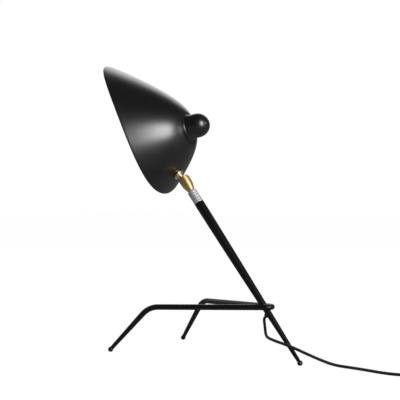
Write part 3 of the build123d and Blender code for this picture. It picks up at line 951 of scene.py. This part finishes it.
@dataclass
class SupplyCord:
    """The mains cord: a free stretch from the stem to the switch, and the rest wound into a coil."""

    radius: float = 0.0022
    route: list[Point] = field(default_factory=lambda: [
        (0.0585, 0.0, 0.0695),
        (0.0646, 0.0, 0.0644),
        (0.0676, -0.0046, 0.057),
        (0.0666, -0.0052, 0.048),
        (0.0632, -0.0016, 0.041),
        (0.0554, 0.005, 0.0362),
        (0.0385, 0.0082, 0.033),
        (0.0165, 0.0085, 0.029),
        (0.0, 0.0065, 0.024),
        (-0.0165, 0.0005, 0.017),
        (-0.0315, -0.008, 0.01),
        (-0.0465, -0.016, 0.0042),
        (-0.063, -0.022, 0.0022),
        (-0.0825, -0.0215, 0.0022),
        (-0.1045, -0.018, 0.0022),
        (-0.128, -0.014, 0.0022),
        (-0.1525, -0.0155, 0.0022),
        (-0.1755, -0.0215, 0.004),
        (-0.1935, -0.026, 0.007),
        (-0.208, -0.026, 0.007),
    ])
    coil_route: list[Point] = field(default_factory=lambda: [
        (-0.304, -0.026, 0.007),
        (-0.316, -0.026, 0.007),
        (-0.329, -0.0266, 0.0046),
        (-0.342, -0.027, 0.003),
        (-0.353, -0.027, 0.003),
    ])
    coil_inner_radius: float = 0.0164
    coil_gap: float = 0.0013
    coil_half_turns: int = 7
    points_per_turn: int = 16
    run_length: float = 0.3217
    coil_length: float = 1.27
    switch_pieces: tuple[str, ...] = ("switch_lower", "switch_upper", "switch_rocker", "rocker_ridges",
                                      "switch_sleeve_lamp")
    plug_pieces: tuple[str, ...] = ("plug_body", "plug_grip", "round_pins", "pin_sheaths", "coil_strap",
                                    "switch_sleeve_plug")

    def coil_points(self) -> list[Point]:
        """Wind the coil: in along the lower layer, up, and out along the upper one.

        Returns:
            Control points from the coil's start to the plug.
        """
        pitch = 2 * self.radius + self.coil_gap
        outer = self.coil_inner_radius + self.coil_half_turns * pitch / 2
        start = Vector(self.coil_route[-1])
        centre = start + Vector((-2 * self.radius, -outer, 0.0))
        per_half = self.points_per_turn // 2
        angle_step = math.pi / per_half
        half_turns = 2 * self.coil_half_turns + 1
        points = []
        for number in range(half_turns * per_half + 1):
            passed = number / per_half
            inward = min(passed, self.coil_half_turns, half_turns - passed)
            climb = min(max(passed - self.coil_half_turns, 0.0), 1.0)
            radius = (outer - inward * pitch / 2) / math.cos(angle_step / 2)
            angle = math.pi / 2 + number * angle_step
            points.append((
                centre.x + radius * math.cos(angle),
                centre.y + radius * math.sin(angle),
                centre.z + climb * pitch,
            ))
        end = Vector((centre.x + 2 * self.radius, centre.y - outer, centre.z + pitch))
        points[-1] = (centre.x, centre.y - outer, end.z)
        points.append(tuple(end))
        return points

    def build(self) -> None:
        """Lay both stretches and hide the cord pieces of the frame that they stand for."""
        run = lay_cord("supply_cord", self.route, self.radius, "base")
        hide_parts("power_cord")
        spare = lay_cord("spare_cord", self.coil_route[:-1] + self.coil_points(), self.radius, "base")
        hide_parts("coil_lead", "cord_coil")


@dataclass
class Stand:
    """The leaning stem, the bent rod of the front legs and the ball feet."""

    finishes: Dressing = field(default_factory=lambda: {
        Finish.FRAME: ("stem_tube", "leg_hairpin"),
        Finish.FOOT: ("foot_rear", "foot_left", "foot_right"),
        Finish.RUBBER: ("cord_bush", "stem_lead"),
    })

    def build(self) -> None:
        """Dress the stand's pieces."""
        dress_nodes(self.finishes)


@dataclass
class Swivel:
    """The ribbed collar, the brass cup with its ring, and the ball stud."""

    finishes: Dressing = field(default_factory=lambda: {
        Finish.NICKEL: ("stem_collar", "swivel_tube", "swivel_nut", "swivel_washer"),
        Finish.BRASS: ("swivel_cup", "cup_ring"),
        Finish.STUD_BRASS: ("ball_stud",),
        Finish.STUD_NICKEL: ("stud_washer", "stud_nut"),
    })

    def build(self) -> None:
        """Dress the swivel's pieces."""
        dress_nodes(self.finishes)


@dataclass
class Shade:
    """The spun shade: a swelling bowl with a domed knob and a curved rim, white inside."""

    origin: Point = (0.2141606, -0.0022897, 0.3555291)
    turn: float = 14.6
    tilt: float = 12.0
    wall: float = 0.0012
    knob_length: float = 0.0343
    knob_radius: float = 0.0195
    knob_taper: float = 1.0
    knob_fillet: float = 0.003
    bowl_depth: float = 0.13
    bowl_swell: float = 0.0592
    bowl_exponent: float = 0.514
    bowl_flare: float = 0.448
    rim: list[tuple[float, float]] = field(default_factory=lambda: [
        (-0.1, 0.0671), (0.02, 0.0699), (0.14, 0.1259),
    ])
    rim_halvings: int = 30
    rim_round: float = 0.00035
    rim_segments: int = 3
    dome_steps: int = 16
    fillet_steps: int = 6
    rows: int = 44
    steps: int = 192

    def axes(self) -> tuple[Vector, Vector]:
        """Work out how the shade stands.

        Returns:
            The direction of the knob and the direction of the shade's tip.
        """
        turn, tilt = math.radians(self.turn), math.radians(self.tilt)
        knob = Vector((-math.cos(tilt) * math.cos(turn), -math.cos(tilt) * math.sin(turn), math.sin(tilt)))
        tip = Vector((math.sin(tilt) * math.cos(turn), math.sin(tilt) * math.sin(turn), math.cos(tilt)))
        return knob, tip

    def place_of(self, front: float, height: float) -> Vector:
        """The place on the shade's middle plane so far towards its tip and so far towards its knob."""
        knob, tip = self.axes()
        return Vector(self.origin) + tip * front + knob * height

    def crown_radius(self) -> float:
        """The radius where the knob's fillet meets the bowl."""
        corner = math.pi / 2 - math.radians(self.knob_taper)
        return self.knob_radius + self.knob_fillet * math.tan(corner / 2)

    def bowl_radius(self, depth: float) -> float:
        """The bowl's outside radius at a depth below its crown."""
        swell = self.bowl_swell * (depth / self.bowl_depth) ** self.bowl_exponent
        return self.crown_radius() + swell + self.bowl_flare * depth

    def profile(self) -> Profile:
        """Draw the outside from the top of the knob to the bowl's full depth.

        Returns:
            Radius and height of each point.
        """
        taper = math.radians(self.knob_taper)
        lean = math.tan(taper)
        dome = (self.knob_radius - self.knob_length * lean) / (math.cos(taper) - lean * (1 - math.sin(taper)))
        middle = self.knob_length - dome
        points = []
        for step in range(self.dome_steps + 1):
            angle = math.pi / 2 + (taper - math.pi / 2) * step / self.dome_steps
            points.append((dome * math.cos(angle), middle + dome * math.sin(angle)))
        fillet_centre = self.crown_radius()
        for step in range(self.fillet_steps + 1):
            angle = math.pi - taper + (math.pi / 2 + taper) * step / self.fillet_steps
            points.append((fillet_centre + self.knob_fillet * math.cos(angle),
                           self.knob_fillet * (1 + math.sin(angle))))
        for row in range(1, self.rows + 1):
            depth = self.bowl_depth * (row / self.rows) ** 2
            points.append((self.bowl_radius(depth), -depth))
        points[0] = (0.0, self.knob_length)
        return points

    def rim_depth(self, front: float) -> float:
        """Follow the arc through the rim's three points.

        Args:
            front: How far towards the tip the place lies.

        Returns:
            The rim's depth there.
        """
        low, middle, tip = (Vector(point) for point in self.rim)
        first, second = middle - low, tip - low
        scale = 2 * (first.x * second.y - first.y * second.x)
        across = (second.y * first.length_squared - first.y * second.length_squared) / scale
        along = (first.x * second.length_squared - second.x * first.length_squared) / scale
        radius = math.hypot(across, along)
        return low.y + along - math.sqrt(radius ** 2 - (front - low.x - across) ** 2)

    def trim(self, shell: Piece) -> None:
        """Draw each row of the bowl up to the curved rim.

        Args:
            shell: The turned shell, on the Z axis.
        """
        for vertex in shell.data.vertices:
            if vertex.co.z >= 0.0:
                continue
            heading = math.atan2(vertex.co.y, vertex.co.x)
            low, high = 0.0, self.bowl_depth
            for _ in range(self.rim_halvings):
                depth = (low + high) / 2
                if depth < self.rim_depth(self.bowl_radius(depth) * math.cos(heading)):
                    low = depth
                else:
                    high = depth
            depth = -vertex.co.z / self.bowl_depth * low
            radius = self.bowl_radius(depth)
            vertex.co = (radius * math.cos(heading), radius * math.sin(heading), -depth)

    def build(self) -> None:
        """Turn, trim and thicken the shade, and give it black paint outside and white inside."""
        shell = Workbench.spin("shade_shell", self.profile(), self.steps)
        self.trim(shell)
        knob, tip = self.axes()
        Workbench.place(shell, Vector(self.origin), knob, tip)
        finishes = [Finish.SHADE, Finish.LINING]
        for finish in finishes:
            shell.data.materials.append(finish.material())
        Workbench.modify(shell, "SOLIDIFY", thickness=self.wall, offset=-1.0, material_offset=1,
                         use_even_offset=True)
        Workbench.soften(shell, self.rim_round, angle=SQUARE_EDGE_ANGLE, segments=self.rim_segments)
        hand_over(shell, "shade", "shade_black", finishes, "shade")


@dataclass
class ShadeLead:
    """The lead in the shade, from the stud round to the lampholder."""

    shade: Shade
    radius: float = 0.0014
    length: float = 0.0712
    route: list[tuple[float, float]] = field(default_factory=lambda: [
        (-0.0627, -0.0407),
        (-0.0578, -0.0451),
        (-0.0507, -0.0468),
        (-0.0449, -0.0430),
        (-0.0399, -0.0355),
        (-0.0360, -0.0265),
        (-0.0320, -0.0175),
        (-0.0265, -0.0105),
        (-0.0200, -0.0065),
        (-0.0140, -0.0065),
    ])

    def build(self) -> None:
        """Lay the lead on the shade's middle plane."""
        points = [self.shade.place_of(front, height) for front, height in self.route]
        lead = lay_cord("shade_flex", [tuple(point) for point in points], self.radius, "shade")
        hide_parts("shade_lead")


@dataclass
class LampHolder:
    """The moulded lampholder in the knob, its sprung ring and the bulb."""

    shade: Shade
    radius: float = 0.0139
    top_radius: float = 0.009
    bore: float = 0.0073
    mouth: float = -0.01
    shoulder: float = 0.02
    top: float = 0.027
    bore_top: float = 0.018
    thread_pitch: float = 0.0022
    thread_depth: float = 0.0006
    thread_count: int = 5
    thread_rise_share: float = 0.3
    thread_crest_share: float = 0.6
    steps: int = 72
    edge_round: float = 0.0003
    edge_angle: float = 25.0
    finishes: Dressing = field(default_factory=lambda: {
        Finish.STUD_NICKEL: ("holder_clip",),
        Finish.CAP: ("bulb_cap",),
        Finish.OPAL: ("bulb_glass",),
    })

    def profile(self) -> Profile:
        """Draw the holder from its bore over the rings that stand for its coarse thread to its top.

        Returns:
            Radius and height of each point.
        """
        height, root = self.mouth, self.radius - self.thread_depth
        rise, crest = self.thread_rise_share * self.thread_pitch, self.thread_crest_share * self.thread_pitch
        points = [(0.0, self.bore_top), (self.bore, self.bore_top), (self.bore, height), (root, height)]
        for _ in range(self.thread_count):
            points += [(self.radius, height + rise), (self.radius, height + crest)]
            height += self.thread_pitch
            points.append((root, height))
        points += [(self.radius, height + rise), (self.radius, self.shoulder), (self.top_radius, self.top),
                   (0.0, self.top)]
        return points

    def build(self) -> None:
        """Turn the holder and dress the rest."""
        body = Workbench.spin("lampholder", self.profile(), self.steps)
        knob, tip = self.shade.axes()
        Workbench.place(body, Vector(self.shade.origin), knob, tip)
        Workbench.soften(body, self.edge_round, angle=self.edge_angle)
        hand_over(body, "shade", "holder_black", [Finish.HOLDER], "holder_body")
        dress_nodes(self.finishes)


def main() -> None:
    """Build the lamp's looks in order."""
    logging.basicConfig(level=logging.INFO)
    bpy.context.scene.view_settings.view_transform = "Standard"
    view, shade = Viewpoint(), Shade()
    for part in (view, Studio(view), InlineSwitch(), CoilStrap(), Plug(), SupplyCord(), ShadeLead(shade),
                 Stand(), Swivel(), shade, LampHolder(shade)):
        part.build()
        LOG.info("built %s", type(part).__name__)


if __name__ == "__main__":
    main()
